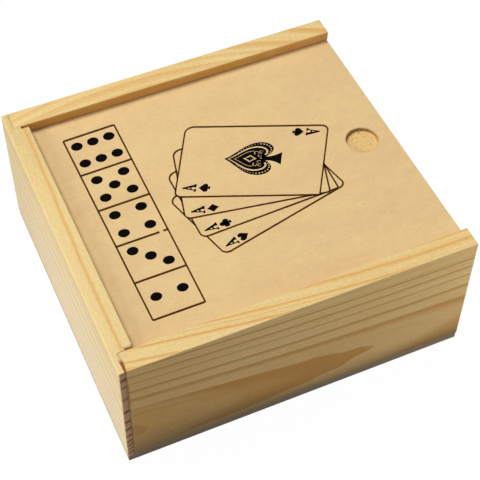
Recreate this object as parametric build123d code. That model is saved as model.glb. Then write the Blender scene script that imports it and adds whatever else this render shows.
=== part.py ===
from build123d import *
import os

# Games compendium box: a pine box with a sliding plywood lid, plywood dividers and its games.
#
# Frame: origin in the middle of the underside, +X towards the end that the lid slides out of,
# -Y towards the front board, +Z up. All sizes are in millimetres.
#
# The inside is laid out around what it holds: a bay for two decks of cards, a pocket for the
# dice and a bay for the dominoes. The boards are built round that inside.

# ---- Playing cards -------------------------------------------------------------------------
card_width = 63.5
card_length = 88.9
card_corner = 3.2
deck_height = 16.2          # one pack, pressed flat
card_side_play = 3.25       # between the decks and the sides of their bay
card_end_play = 2.05        # between the decks and the ends of their bay
upper_deck_turn = 0.7       # degrees

# ---- Dice ----------------------------------------------------------------------------------
die_size = 16.0
die_edge = 1.4
die_pip_width = 3.0
die_pip_depth = 0.6
die_pip_pitch = 4.0
dice_row_pitch = 18.4       # between the two rows
dice_pitch = 21.5           # between dice in one row
dice_pocket_width = 38.5

# ---- Dominoes ------------------------------------------------------------------------------
domino_length = 44.0
domino_width = 22.0
domino_thickness = 8.0
domino_edge = 0.7
domino_pip_width = 4.0
domino_pip_depth = 0.7
domino_pip_pitch = 5.4
domino_line_width = 0.9
domino_line_depth = 0.5
domino_line_margin = 2.0    # plain wood left at each end of the middle line
domino_columns = 3
domino_rows = 3
domino_side_play = 1.5      # between tiles, and between tiles and walls, across the bay
domino_end_play = 0.6       # the same, along the bay
highest_number = 6

# ---- Dividers ------------------------------------------------------------------------------
divider_thickness = 3.0
divider_height = 45.0
divider_edge = 0.4
housing_depth = 2.0         # how far a divider is let into a board
divider_housing_depth = 1.0  # how far the short divider is let into the long one
housing_play = 0.1

# ---- Boards and base -----------------------------------------------------------------------
board_thickness = 10.0
board_height = 67.0
base_thickness = 4.0
base_inset = 0.4            # the base panel stops short of the boards' outer faces
corner_lip = 3.0            # part of the closed end board that laps over the side boards' ends
open_end_rebate = 3.0       # how deep the open end board is let into each side board
board_edge = 0.45           # rounding of the boards' long edges
rail_end_edge = 0.6         # rounding of the side boards' ends over the lid
joint_ease = 0.3            # small bevel that shows as a line at each corner joint

# ---- Lid and its groove --------------------------------------------------------------------
lid_thickness = 4.0
lid_sink = 5.0              # the lid's top lies this far below the boards' top edges
groove_depth = 5.0
lid_play = 0.15             # above and below the lid
lid_side_play = 0.3
lid_nose_play = 0.5         # between the lid's leading edge and the bottom of its groove
lid_end_setback = 0.6       # the lid's tail stops this far inside the open end
lid_edge = 0.3
lip_end_gap = 0.8           # the lip over the lid's nose stops short of the side boards
lip_end_round = 1.3
thumb_recess_width = 15.0
thumb_recess_depth = 1.8
thumb_recess_setback = 15.5  # its middle, from the box's open end
thumb_recess_offset = 0.7   # its middle, from the middle of the lid towards the back

# ---- Brads under the base ------------------------------------------------------------------
brad_width = 1.2
brad_length = 14.0
brad_head_width = 2.4
brad_head_height = 0.5
brad_head_sink = 0.2
side_brad_pitch = 55.0
end_brad_pitch = 70.0

# ---- Worked out from the sizes above -------------------------------------------------------
card_bay_length_x = card_width + 2 * card_side_play
domino_bay_x = domino_columns * domino_width + (domino_columns + 1) * domino_side_play
inside_x = card_bay_length_x + divider_thickness + domino_bay_x

card_bay_y = card_length + 2 * card_end_play
left_side_y = card_bay_y + divider_thickness + dice_pocket_width
right_side_y = domino_rows * domino_length + (domino_rows + 1) * domino_end_play
inside_y = max(left_side_y, right_side_y)

box_length = inside_x + 2 * board_thickness
box_width = inside_y + 2 * board_thickness
half_length = box_length / 2
half_width = box_width / 2
inside_half_x = inside_x / 2
inside_half_y = inside_y / 2

floor_z = base_thickness
top_z = base_thickness + board_height
lid_top_z = top_z - lid_sink
lid_bottom_z = lid_top_z - lid_thickness
groove_floor_z = lid_bottom_z - lid_play
groove_roof_z = lid_top_z + lid_play
groove_wall_x = -inside_half_x - groove_depth
divider_top_z = floor_z + divider_height

long_divider_x = -inside_half_x + card_bay_length_x + divider_thickness / 2
short_divider_y = inside_half_y - card_bay_y - divider_thickness / 2
card_bay_middle_x = -inside_half_x + card_bay_length_x / 2
card_bay_middle_y = inside_half_y - card_bay_y / 2
dice_pocket_middle_y = (short_divider_y - divider_thickness / 2 - inside_half_y) / 2
domino_bay_middle_x = inside_half_x - domino_bay_x / 2


def block(low, high):
    """A plain block between two opposite corners."""
    size = [b - a for a, b in zip(low, high)]
    middle = [(a + b) / 2 for a, b in zip(low, high)]
    return Pos(*middle) * Box(*size)


def edges_near(shape, axis, **place):
    """The edges along an axis whose middle has the given x, y or z."""
    found = shape.edges().filter_by(axis)
    for letter, value in place.items():
        name = letter.upper()
        found = found.filter_by(lambda edge: abs(getattr(edge.center(), name) - value) < 0.01)
    return found


# ---- Boards --------------------------------------------------------------------------------
def rail_section(plane):
    """A board's section: its outer face at 0, its inner face at board_thickness, and the groove.

    The long edges on the outside and along the top are rounded.
    """
    outline = [
        (0, floor_z),
        (0, top_z),
        (board_thickness, top_z),
        (board_thickness, groove_roof_z),
        (board_thickness - groove_depth, groove_roof_z),
        (board_thickness - groove_depth, groove_floor_z),
        (board_thickness, groove_floor_z),
        (board_thickness, floor_z),
    ]
    face = make_face(Polyline(*outline, close=True))
    rounded = [corner for corner in face.vertices() if corner.X < 0.01 or corner.Y > top_z - 0.01]
    return plane * fillet(rounded, board_edge)


def brad_places():
    """Middle of every brad, as x and y."""
    line = half_width - board_thickness / 2
    places = []
    for side in (-1, 1):
        for step in (-1, 0, 1):
            places.append((step * side_brad_pitch, side * line))
    line = half_length - board_thickness / 2
    for end in (-1, 1):
        for step in (-0.5, 0.5):
            places.append((end * line, step * end_brad_pitch))
    return places


def brad_holes():
    """Everything that the brads fill, for cutting out of the base and the boards."""
    shank = Cylinder(brad_width / 2, brad_length, align=(Align.CENTER, Align.CENTER, Align.MIN))
    head_depth = brad_head_sink + brad_head_height
    head = Cylinder(brad_head_width / 2, head_depth, align=(Align.CENTER, Align.CENTER, Align.MIN))
    hole = Pos(0, 0, brad_head_sink) * shank + head
    return [Pos(x, y, 0) * hole for x, y in brad_places()]


def long_divider_housing():
    """The two slots in the side boards that hold the long divider."""
    width = divider_thickness + 2 * housing_play
    reach = inside_half_y + housing_depth
    return block(
        (long_divider_x - width / 2, -reach, floor_z),
        (long_divider_x + width / 2, reach, divider_top_z),
    )


def short_divider_housing():
    """The slot in the closed end board and in the long divider that holds the short one."""
    width = divider_thickness + 2 * housing_play
    return block(
        (-inside_half_x - housing_depth, short_divider_y - width / 2, floor_z),
        (long_divider_x - divider_thickness / 2 + divider_housing_depth,
         short_divider_y + width / 2, divider_top_z),
    )


def side_board():
    """The front board. The back board is its mirror image."""
    start = -half_length + corner_lip
    section = rail_section(Plane(origin=(start, -half_width, 0), x_dir=(0, 1, 0), z_dir=(1, 0, 0)))
    board = extrude(section, half_length - start)
    board -= block(
        (inside_half_x, -inside_half_y - open_end_rebate, floor_z),
        (half_length, -inside_half_y, groove_floor_z),
    )
    board -= long_divider_housing()
    lip_end = edges_near(board, Axis.Z, X=half_length, Y=-inside_half_y)
    lip_end += edges_near(board, Axis.Y, X=half_length, Z=groove_roof_z)
    board = fillet(lip_end, rail_end_edge)
    joint = edges_near(board, Axis.Z, X=start, Y=-half_width)
    joint += edges_near(board, Axis.Y, X=start, Z=top_z)
    return chamfer(joint, joint_ease)


def closed_end_board():
    """The board that the lid's nose slides into, rebated at both ends over the side boards."""
    section = rail_section(Plane(origin=(-half_length, half_width, 0), x_dir=(1, 0, 0), z_dir=(0, -1, 0)))
    board = extrude(section, box_width)
    for side in (-1, 1):
        board -= block(
            (-half_length + corner_lip, min(side * inside_half_y, side * half_width), floor_z),
            (-inside_half_x, max(side * inside_half_y, side * half_width), top_z),
        )
        lip_end = inside_half_y - lip_end_gap
        board -= block(
            (groove_wall_x + lip_end_round, min(side * lip_end, side * inside_half_y), groove_roof_z),
            (-inside_half_x, max(side * lip_end, side * inside_half_y), top_z),
        )
    board -= short_divider_housing()
    corners = edges_near(board, Axis.Z, X=-half_length)
    board = fillet(corners, board_edge)
    for side in (-1, 1):
        lip_corner = edges_near(board, Axis.Z, X=-inside_half_x, Y=side * (inside_half_y - lip_end_gap))
        board = fillet(lip_corner, lip_end_round)
    return board


def open_end_board():
    """The low board that the lid passes over, let into both side boards."""
    reach = inside_half_y + open_end_rebate
    board = block((inside_half_x, -reach, floor_z), (half_length, reach, groove_floor_z))
    return fillet(edges_near(board, Axis.Y, X=half_length), board_edge)


def base_panel():
    """The plywood panel under the boards, a little smaller than the box."""
    x = half_length - base_inset
    y = half_width - base_inset
    panel = block((-x, -y, 0), (x, y, base_thickness))
    for hole in brad_holes():
        panel -= hole
    return panel


def brads():
    """The brads that hold the base, as separate solids."""
    shank_length = brad_length - brad_head_height
    shank = Cylinder(brad_width / 2, shank_length, align=(Align.CENTER, Align.CENTER, Align.MIN))
    head = Cylinder(brad_head_width / 2, brad_head_height, align=(Align.CENTER, Align.CENTER, Align.MIN))
    brad = Pos(0, 0, brad_head_sink) * (Pos(0, 0, brad_head_height) * shank + head)
    return Compound(children=[Pos(x, y, 0) * brad for x, y in brad_places()])


# ---- Lid -----------------------------------------------------------------------------------
def sliding_lid():
    """The plywood lid with its round thumb recess near the open end."""
    y = inside_half_y + groove_depth - lid_side_play
    nose = groove_wall_x + lid_nose_play
    tail = half_length - lid_end_setback
    panel = block((nose, -y, lid_bottom_z), (tail, y, lid_top_z))
    panel = chamfer(panel.edges().filter_by(Axis.Z), lid_edge)
    recess = Cylinder(thumb_recess_width / 2, thumb_recess_depth,
                      align=(Align.CENTER, Align.CENTER, Align.MAX))
    return panel - Pos(half_length - thumb_recess_setback, thumb_recess_offset, lid_top_z) * recess


# ---- Dividers ------------------------------------------------------------------------------
def long_divider():
    """The divider that runs from the front board to the back board."""
    reach = inside_half_y + housing_depth - housing_play
    half = divider_thickness / 2
    panel = block(
        (long_divider_x - half, -reach, floor_z),
        (long_divider_x + half, reach, divider_top_z),
    )
    panel = fillet(edges_near(panel, Axis.Y, Z=divider_top_z), divider_edge)
    return panel - short_divider_housing()


def short_divider():
    """The divider between the card bay and the dice pocket."""
    half = divider_thickness / 2
    panel = block(
        (-inside_half_x - housing_depth + housing_play, short_divider_y - half, floor_z),
        (long_divider_x - half + divider_housing_depth - housing_play, short_divider_y + half, divider_top_z),
    )
    return fillet(edges_near(panel, Axis.X, Z=divider_top_z), divider_edge)


# ---- Games ---------------------------------------------------------------------------------
def card_deck(level, turn):
    """One deck of cards lying flat in its bay, at a level counted from the floor."""
    sheet = RectangleRounded(card_width, card_length, card_corner)
    deck = extrude(sheet, deck_height)
    place = Pos(card_bay_middle_x, card_bay_middle_y, floor_z + level * deck_height)
    return place * Rot(0, 0, turn) * deck


def pip_spots(number, pitch):
    """Middles of the pips that show a number, in the traditional pattern about (0, 0)."""
    spots = []
    if number % 2 == 1:
        spots.append((0, 0))
    if number >= 2:
        spots += [(-pitch, -pitch), (pitch, pitch)]
    if number >= 4:
        spots += [(-pitch, pitch), (pitch, -pitch)]
    if number == 6:
        spots += [(-pitch, 0), (pitch, 0)]
    return spots


def pip_ball(width, depth):
    """A ball that leaves a round dimple of the given width and depth in the plane z = 0."""
    radius = ((width / 2) ** 2 + depth ** 2) / (2 * depth)
    return Pos(0, 0, radius - depth) * Sphere(radius)


def die(top_number):
    """A die with its middle at the origin and the given number on top."""
    sides = {
        1: Rot(0, 90, 0),
        2: Rot(-90, 0, 0),
        3: Rot(0, 0, 0),
        4: Rot(180, 0, 0),
        5: Rot(90, 0, 0),
        6: Rot(0, -90, 0),
    }
    to_top = {1: Rot(0, -90, 0), 2: Rot(90, 0, 0), 3: Rot(0, 0, 0),
              4: Rot(180, 0, 0), 5: Rot(-90, 0, 0), 6: Rot(0, 90, 0)}
    cube = Box(die_size, die_size, die_size)
    cube = fillet(cube.edges(), die_edge)
    ball = pip_ball(die_pip_width, die_pip_depth)
    for number, side in sides.items():
        for u, v in pip_spots(number, die_pip_pitch):
            cube -= side * Pos(u, v, die_size / 2) * ball
    return to_top[top_number] * cube


def dice():
    """Five dice in two rows in their pocket, by node name."""
    layout = [
        # top number, step along the row, row, turn in degrees
        (6, -1, 0.5, 11),
        (5, 0, 0.5, -7),
        (4, 1, 0.5, 9),
        (3, -0.5, -0.5, -10),
        (2, 0.5, -0.5, 6),
    ]
    named = {}
    for index, (number, step, row, turn) in enumerate(layout, start=1):
        x = card_bay_middle_x + step * dice_pitch
        y = dice_pocket_middle_y + row * dice_row_pitch
        place = Pos(x, y, floor_z + die_size / 2)
        named[f"die_{index}"] = place * Rot(0, 0, turn) * die(number)
    return named


def domino(first, second):
    """A domino lying face up along Y on the plane z = 0, with its two numbers."""
    tile = Box(domino_width, domino_length, domino_thickness, align=(Align.CENTER, Align.CENTER, Align.MIN))
    tile = fillet(tile.edges(), domino_edge)
    line = Box(domino_width - 2 * domino_line_margin, domino_line_width, domino_line_depth,
               align=(Align.CENTER, Align.CENTER, Align.MAX))
    tile -= Pos(0, 0, domino_thickness) * line
    ball = pip_ball(domino_pip_width, domino_pip_depth)
    for number, end in ((first, -1), (second, 1)):
        for u, v in pip_spots(number, domino_pip_pitch):
            tile -= Pos(u, end * domino_length / 4 + v, domino_thickness) * ball
    return tile


def dominoes():
    """The whole set in layers, lowest numbers at the bottom, by node name."""
    pairs = [(a, b) for a in range(highest_number + 1) for b in range(a, highest_number + 1)]
    pitch_x = domino_width + domino_side_play
    pitch_y = domino_length + domino_end_play
    per_layer = domino_columns * domino_rows
    named = {}
    for index, (first, second) in enumerate(pairs):
        layer = index // per_layer
        column = index % domino_columns - (domino_columns - 1) / 2
        row = index % per_layer // domino_columns - (domino_rows - 1) / 2
        place = Pos(
            domino_bay_middle_x + column * pitch_x,
            row * pitch_y,
            floor_z + layer * domino_thickness,
        )
        named[f"domino_{first}_{second}"] = place * domino(first, second)
    return named


# ---- All sub-parts -------------------------------------------------------------------------
front_board = side_board()
holes = brad_holes()


def drilled(board):
    """A board with the brad holes cut into it."""
    for hole in holes:
        board -= hole
    return board


parts = {
    "front_board": drilled(front_board),
    "back_board": drilled(mirror(front_board, about=Plane.XZ)),
    "closed_end_board": drilled(closed_end_board()),
    "open_end_board": drilled(open_end_board()),
    "base_panel": base_panel(),
    "base_brads": brads(),
    "sliding_lid": sliding_lid(),
    "long_divider": long_divider(),
    "short_divider": short_divider(),
    "card_deck_lower": card_deck(0, 0),
    "card_deck_upper": card_deck(1, upper_deck_turn),
}
parts.update(dice())
parts.update(dominoes())

os.makedirs("parts", exist_ok=True)
for name, shape in parts.items():
    export_step(shape, f"parts/{name}.step")
print("box", box_length, box_width, top_z)
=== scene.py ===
from dataclasses import dataclass
from functools import reduce, wraps

import bpy
import numpy as np
from bpy.props import FloatProperty, FloatVectorProperty, IntProperty, PointerProperty
from bpy.types import Operator, Panel, PropertyGroup
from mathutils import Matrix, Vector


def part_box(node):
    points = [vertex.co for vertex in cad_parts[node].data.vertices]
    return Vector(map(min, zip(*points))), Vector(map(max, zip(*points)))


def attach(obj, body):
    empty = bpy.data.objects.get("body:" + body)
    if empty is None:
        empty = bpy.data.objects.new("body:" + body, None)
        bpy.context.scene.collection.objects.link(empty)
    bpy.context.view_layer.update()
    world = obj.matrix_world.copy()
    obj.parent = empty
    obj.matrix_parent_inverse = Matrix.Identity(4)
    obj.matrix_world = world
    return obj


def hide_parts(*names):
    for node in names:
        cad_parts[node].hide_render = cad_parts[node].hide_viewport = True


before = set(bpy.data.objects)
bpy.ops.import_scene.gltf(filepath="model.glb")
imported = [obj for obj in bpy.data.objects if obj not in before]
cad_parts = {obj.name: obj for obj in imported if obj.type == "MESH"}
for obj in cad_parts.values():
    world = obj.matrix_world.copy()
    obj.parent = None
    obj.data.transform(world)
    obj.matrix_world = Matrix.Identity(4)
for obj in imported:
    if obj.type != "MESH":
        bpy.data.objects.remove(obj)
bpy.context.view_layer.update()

bl_info = {
    "name": "Games compendium box",
    "version": (1, 0, 0),
    "blender": (4, 5, 0),
    "location": "3D View > Sidebar > Games Box",
    "description": "Wood, print, cards, dice and dominoes of a box with a sliding lid",
    "category": "Object",
}

MM = 0.001


def linear(*screen):
    """Linear colour of three 8-bit screen values: the screen's own curve undone."""
    screen = np.array(screen) / 255
    undone = np.where(screen <= 0.04045, screen / 12.92, ((screen + 0.055) / 1.055) ** 2.4)
    return tuple(float(value) for value in undone)


def colour(name, description, *screen):
    """A colour property with its default given as three 8-bit screen values."""
    return FloatVectorProperty(
        name=name, description=description, subtype="COLOR", size=3, min=0, max=1, default=linear(*screen)
    )


def length(name, description, millimetres):
    """A length property with its default given in millimetres."""
    return FloatProperty(name=name, description=description, unit="LENGTH", default=millimetres * MM)


def amount(name, description, default):
    """A property that is a plain number."""
    return FloatProperty(name=name, description=description, default=default)


def numbers(name, description, *default):
    """A property of several plain numbers, in mm where the description says so."""
    return FloatVectorProperty(name=name, description=description, size=len(default), default=default)


# ---- Sizes and colours that a user would change ---------------------------------------------
class StageLooks(PropertyGroup):
    """Camera, lamps and floor."""

    camera_place: FloatVectorProperty(
        name="Camera place", description="Where the camera stands", subtype="TRANSLATION",
        unit="LENGTH", size=3, default=(-0.155511, -0.347030, 0.508718),
    )
    camera_turn: FloatVectorProperty(
        name="Camera turn", description="Its rotation about X, Y and Z", subtype="EULER",
        unit="ROTATION", size=3, default=(0.667093, 0.001201, -0.410708),
    )
    camera_lens: FloatProperty(
        name="Lens", description="Focal length on a 36 mm sensor", unit="CAMERA", default=97.232,
    )
    camera_shift: amount("Shift", "Sideways shift of the picture, as a share of its width", 0.0417)
    sky_level: amount("Sky", "Soft light from all round", 0.08)
    top_level: amount("Top lamp", "Light of the lamp overhead", 0.80)
    side_level: amount("Side lamp", "Light of the low lamp on the left", 0.53)
    front_level: amount("Front lamp", "Light of the small lamp in front", 0.24)
    floor_glow: amount("Floor glow", "How much the floor shines for the camera", 0.95)
    floor_tone: colour("Floor", "Colour that the floor throws back on the box", 166, 165, 163)


class PineLooks(PropertyGroup):
    """Boards of solid pine."""

    pale: colour("Early wood", "Pale wood between the rings", 234, 208, 147)
    # Painted sheen and floor bounce light: the closed end board's upright faces take this whiter early wood,
    # most of all low down, while its top keeps the plain early wood.
    white: colour("Sapwood", "Whiter early wood of the closed end board", 243, 228, 194)
    amber: colour("Late wood", "Amber wood along the rings", 223, 166, 86)
    brown: colour("Ring edge", "Darker line at the sharp edge of a ring", 168, 122, 66)
    # Painted warmer bounce light: the front board's upright faces take this warmer early wood, standing for
    # the warm light thrown back on them in shade.
    warm: colour("Planed face", "Warmer early wood of the front board", 248, 211, 146)
    # Painted light: the front board's upright faces turn this paler high up and towards the right, where more
    # light falls on them.
    crest: colour("Upper face", "Paler early wood high on the front board", 255, 222, 156)
    # Painted shade: the side boards' inner faces above the lid darken to this, where little light falls and
    # the lid throws back warmer light.
    sawn: colour("Sawn groove", "Toasted wood where the groove was sawn", 213, 158, 81)
    dim: colour("Duller end", "Dulls the closed end board's paler wood towards the back", 240, 238, 232)
    # Painted shade along the foot of the boards, where the shadowed floor throws back little light, darkest
    # just above the base panel.
    foot: colour("Foot", "Greyed wood along the foot", 112, 95, 68)
    end_pale: colour("End grain", "Early wood where the grain is cut across", 212, 170, 132)
    end_dark: colour("End grain rings", "Late wood where the grain is cut across", 136, 76, 50)
    gap: colour("Joint", "Dark line in the corner joints", 138, 62, 14)
    fibre: amount("Fibre", "Strength of the fine streaks", 0.08)
    mottle: amount("Mottle", "Strength of the fine uneven patches", 0.22)


class PlywoodLooks(PropertyGroup):
    """Lid, base and dividers."""

    face: colour("Face", "Outer plies", 229, 199, 143)
    blush: colour("Blush", "Pinker patches of the face", 227, 192, 139)
    core: colour("Core", "Middle ply", 230, 192, 124)
    scooped: colour("Scooped wood", "Fresh rough wood in the thumb recess", 238, 203, 136)
    burn: colour("Burn", "Wood scorched by the cutter round the thumb recess", 126, 82, 34)
    glue: colour("Glue line", "Line between plies", 150, 100, 52)
    # Partly the plywood's own darker edge, partly painted contact shade where the base panel meets the floor.
    rim: colour("Base rim", "Grey-brown edge of the base panel", 152, 142, 128)


class PrintLooks(PropertyGroup):
    """Black print on the lid, drawn in flat millimetres and carried onto the lid by one map."""

    ink: colour("Ink", "Ink of the filled shapes", 8, 5, 4)
    thin_ink: colour("Thin ink", "Browner ink of the lines", 80, 46, 16)
    thickness: length("Ink thickness", "How far the ink stands on the wood", 0.03)
    line: length("Line", "Width of the printed lines", 0.95)
    squeeze: amount("Squeeze", "Length kept from front to back", 0.8684)
    shear: amount("Shear", "Sideways slip per length to the back", 0.0391)
    narrowing: numbers("Narrowing", "How fast the print shrinks towards the left and front, per mm",
                       0.000183, 0.000599)
    strip_middle: numbers("Strip place", "Middle of the strip's back edge, in mm", -48.82, 62.05)
    strip_turn: FloatProperty(
        name="Strip turn", description="Turn of the strip", unit="ROTATION", default=0.01518,
    )
    strip_cell: numbers("Strip cell", "Width and length of one die face, in mm", 24.88, 25.61)
    pip: length("Pip", "Width of a printed pip", 5.4)
    card_size: numbers("Card", "Length and width of a printed card, in mm", 67.8, 46.3)
    card_corners: numbers("Card corners", "Radii of a card's corners but the front right one, in mm",
                          3.4, 4.2, 3.2)


class GamesLooks(PropertyGroup):
    """Cards, dice and dominoes inside the box."""

    cards: IntProperty(name="Cards", description="Cards in one deck", default=54)
    paper: colour("Paper", "Card stock", 240, 237, 228)
    lower_back: colour("Lower deck", "Back of the lower deck", 44, 72, 128)
    upper_back: colour("Upper deck", "Back of the upper deck", 142, 24, 30)
    ivory: colour("Dice", "Resin of the dice", 238, 231, 212)
    tile: colour("Dominoes", "Hardwood of the dominoes", 222, 190, 140)
    paint: colour("Paint", "Paint in the pips", 24, 21, 20)
    steel: colour("Brads", "Bright steel", 168, 166, 162)


LOOKS = {
    "games_box_stage": StageLooks,
    "games_box_pine": PineLooks,
    "games_box_plywood": PlywoodLooks,
    "games_box_print": PrintLooks,
    "games_box_games": GamesLooks,
}


# ---- Shader wiring --------------------------------------------------------------------------
class Signal:
    """A node's output. Each + - * / and abs on it adds a Math node, or a Vector Math node on a vector."""

    def __init__(self, wiring, socket):
        self.wiring, self.socket = wiring, socket

    def work(self, operation, *inputs):
        kind = "VectorMath" if self.socket.type == "VECTOR" else "Math"
        return self.wiring.out(kind, *inputs, operation=operation)

    def __add__(self, other):
        return self.work("ADD", self, other)

    def __sub__(self, other):
        return self.work("SUBTRACT", self, other)

    def __rsub__(self, other):
        return self.work("SUBTRACT", other, self)

    def __mul__(self, other):
        return self.work("MULTIPLY", self, other)

    def __truediv__(self, other):
        return self.work("DIVIDE", self, other)

    def __abs__(self):
        return self.work("ABSOLUTE", self)

    __radd__, __rmul__ = __add__, __mul__


class Wiring:
    """Adds nodes to one tree. An input is a plain value or a Signal."""

    def __init__(self, tree):
        self.tree = tree

    def feed(self, socket, value):
        if isinstance(value, Signal):
            self.tree.links.new(value.socket, socket)
        elif socket.type == "RGBA" and len(value) == 3:
            socket.default_value = (*value, 1)
        else:
            socket.default_value = value

    def fill(self, sockets, **values):
        """Feeds sockets by name, with _ for each space in the name."""
        for name, value in values.items():
            self.feed(sockets[name.replace("_", " ")], value)

    def node(self, kind, *inputs, **settings):
        made = self.tree.nodes.new("ShaderNode" + kind)
        for name, value in settings.items():
            setattr(made, name, value)
        for socket, value in zip(made.inputs, inputs):
            self.feed(socket, value)
        return made

    def signals(self, sockets):
        return {socket.name: Signal(self, socket) for socket in sockets}

    def out(self, kind, *inputs, **settings):
        return Signal(self, self.node(kind, *inputs, **settings).outputs[0])

    def math(self, operation, *inputs, clamp=False):
        return self.out("Math", *inputs, operation=operation, use_clamp=clamp)

    def least(self, *values):
        return reduce(lambda one, other: self.math("MINIMUM", one, other), values)

    def most(self, *values):
        return reduce(lambda one, other: self.math("MAXIMUM", one, other), values)

    def reach(self, vector):
        """How long a vector is."""
        return Signal(self, self.node("VectorMath", vector, operation="LENGTH").outputs["Value"])

    def split(self, vector):
        return tuple(self.signals(self.node("SeparateXYZ", vector).outputs).values())

    def join(self, x, y, z):
        return self.out("CombineXYZ", x, y, z)

    def step(self, value, low, high, start=0.0, end=1.0):
        """Smooth change from start at low to end at high."""
        return self.out("MapRange", value, low, high, start, end, interpolation_type="SMOOTHSTEP")

    def mix(self, share, first, second, blend="MIX"):
        made = self.node("Mix", data_type="RGBA", blend_type=blend)
        for place, value in ((0, share), (6, first), (7, second)):
            self.feed(made.inputs[place], value)
        return Signal(self, made.outputs[2])

    def shaded(self, shade, level):
        """A colour times a level."""
        return self.mix(1.0, shade, self.out("CombineColor", level, level, level), "MULTIPLY")

    def noise(self, place, scale, detail=2.0, roughness=0.5, distortion=0.0):
        """Noise over a place; scale is one number, or one for each axis."""
        if isinstance(scale, tuple):
            place, scale = place * scale, 1
        made = self.node("TexNoise")
        self.fill(made.inputs, Vector=place, Scale=scale, Detail=detail, Roughness=roughness,
                  Distortion=distortion)
        return Signal(self, made.outputs[0])

    def curve(self, value, points):
        """A broken line through points (value, result)."""
        values, results = np.array(points, float).T
        reach, rise = np.ptp(values), max(np.ptp(results), 1e-6)
        share = self.math("DIVIDE", value - float(values[0]), float(reach), clamp=True)
        made = self.node("FloatCurve", 1.0, share)
        line = made.mapping.curves[0]
        for place, (x, y) in enumerate(zip((values - values[0]) / reach, (results - results.min()) / rise)):
            point = line.points[place] if place < 2 else line.points.new(float(x), float(y))
            point.location = (float(x), float(y))
        for point in line.points:
            point.handle_type = "VECTOR"
        made.mapping.update()
        return Signal(self, made.outputs[0]) * float(rise) + float(results.min())

    def coordinates(self, kind):
        return self.signals(self.node("TexCoord").outputs)[kind]

    def place(self, axes="xyz", middle=(0, 0, 0)):
        """Object coordinates in millimetres from a middle, with the axes in the order given."""
        spot = self.coordinates("Object") * (1000, 1000, 1000) - tuple(middle)
        if axes == "xyz":
            return spot
        parts = dict(zip("xyz", self.split(spot)))
        return self.join(*(parts[letter] for letter in axes))

    def turned_back(self, place, angle):
        """A place as it lies on a piece that was turned about Z."""
        made = self.node("VectorRotate", place, rotation_type="Z_AXIS")
        self.feed(made.inputs["Angle"], -angle)
        return Signal(self, made.outputs[0])

    def facing(self, axis):
        """How squarely the surface faces along an axis, 0 to 1."""
        return abs(self.split(self.coordinates("Normal"))["xyz".index(axis)])

    def level(self, start=0.0, end=1.0):
        """Start on upright faces and end on level ones."""
        return self.step(self.facing("z"), 0.3, 0.8, start, end)


def effect(*outputs, **inputs):
    """Makes a function a shader node group, built at its first use and placed by each call.

    The outputs are plain values, and the inputs are Float or Vector. The function takes the group's
    wiring and inputs and returns what feeds its outputs. A call takes a material's wiring and what
    feeds the group there, and returns its outputs by name.
    """
    def as_group(build):
        tree = None

        @wraps(build)
        def placed(w, **values):
            nonlocal tree
            if tree is None:
                tree = bpy.data.node_groups.new(build.__name__, "ShaderNodeTree")
                for name, kind in inputs.items():
                    tree.interface.new_socket(name, in_out="INPUT", socket_type="NodeSocket" + kind)
                for name in outputs:
                    tree.interface.new_socket(name, in_out="OUTPUT", socket_type="NodeSocketFloat")
                inner = Wiring(tree)
                given = inner.signals(tree.nodes.new("NodeGroupInput").outputs)
                found = build(inner, *(given[name] for name in inputs))
                inner.fill(tree.nodes.new("NodeGroupOutput").inputs, **dict(zip(outputs, found)))
            group = w.node("Group", node_tree=tree)
            w.fill(group.inputs, **values)
            return w.signals(group.outputs)

        return placed

    return as_group


@effect("Radius", Place="Vector", Heart="Vector", Slope="Vector", Bend="Vector", Waver="Float")
def growth_rings(w, place, heart, slope, bend, waver):
    """Distance from the heart of the tree, in mm, for a board whose grain runs along X.

    The heart is a line that may slope and bend: heart + slope * x + bend * x * x. Two noises
    stretched along the grain push the rings in and out.
    """
    x = w.split(place)[0]
    square = x * x
    line = heart + slope * w.join(x, x, x) + bend * w.join(square, square, square)
    slow = w.noise(place, (0.012, 0.045, 0.045), 1) - 0.5
    quick = w.noise(place, (0.045, 0.25, 0.25), 2) - 0.5
    return [w.reach((place - line) * (0, 1, 1)) + (slow * 3.0 + quick * 1.0) * waver]


@effect("Streak", "Patch", "Fleck", "Mottle", "Height", Place="Vector", Along="Float", Across="Float")
def wood_fibre(w, place, along, across):
    """Fine streaks along X, broad patches, dark flecks, fine mottle, and the height of the surface."""
    fine = w.noise(place * w.join(along, across, across), 1, 3, 0.6)
    hair = w.noise(place, (0.35, 7, 7), 2, 0.6)
    patch = w.noise(place, (0.02, 0.06, 0.06), 3, 0.55)
    fleck = w.step(w.noise(place, (0.5, 2.2, 2.2)), 0.62, 0.78)
    mottle = w.noise(place, (0.5, 1.1, 1.1), 3, 0.7)
    return [fine, patch, fleck, mottle, fine * 0.5 + hair * 0.5]


@effect("Wear", Place="Vector", Half="Vector", Reach="Float")
def edge_wear(w, place, half, reach):
    """1 on the edges of a box, fading to 0 within a reach: the two smallest distances to its faces added."""
    x, y, z = w.split(half - abs(place))
    distance = x + y + z - w.most(x, y, z)
    return [w.step(distance / (reach * (w.noise(place, 0.35) + 0.5)), 0.0, 1.0, 1.0, 0.0)]


@effect("Gap", Place="Vector", Line="Float", Start="Float", Width="Float")
def corner_joint(w, place, line, start, width):
    """Dark line where two boards meet at the plane x = Line, beyond y = Start on both sides,
    broken up by noise."""
    x, y, _ = w.split(place)
    width = width * w.step(w.noise(place, 0.3, 1), 0.35, 0.65, 0.5, 1.2)
    dark = w.step(abs(x - line) / width, 0.5, 1.0, 1.0, 0.0)
    return [dark * w.step(abs(y) - start, -0.1, 0.1)]


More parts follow.
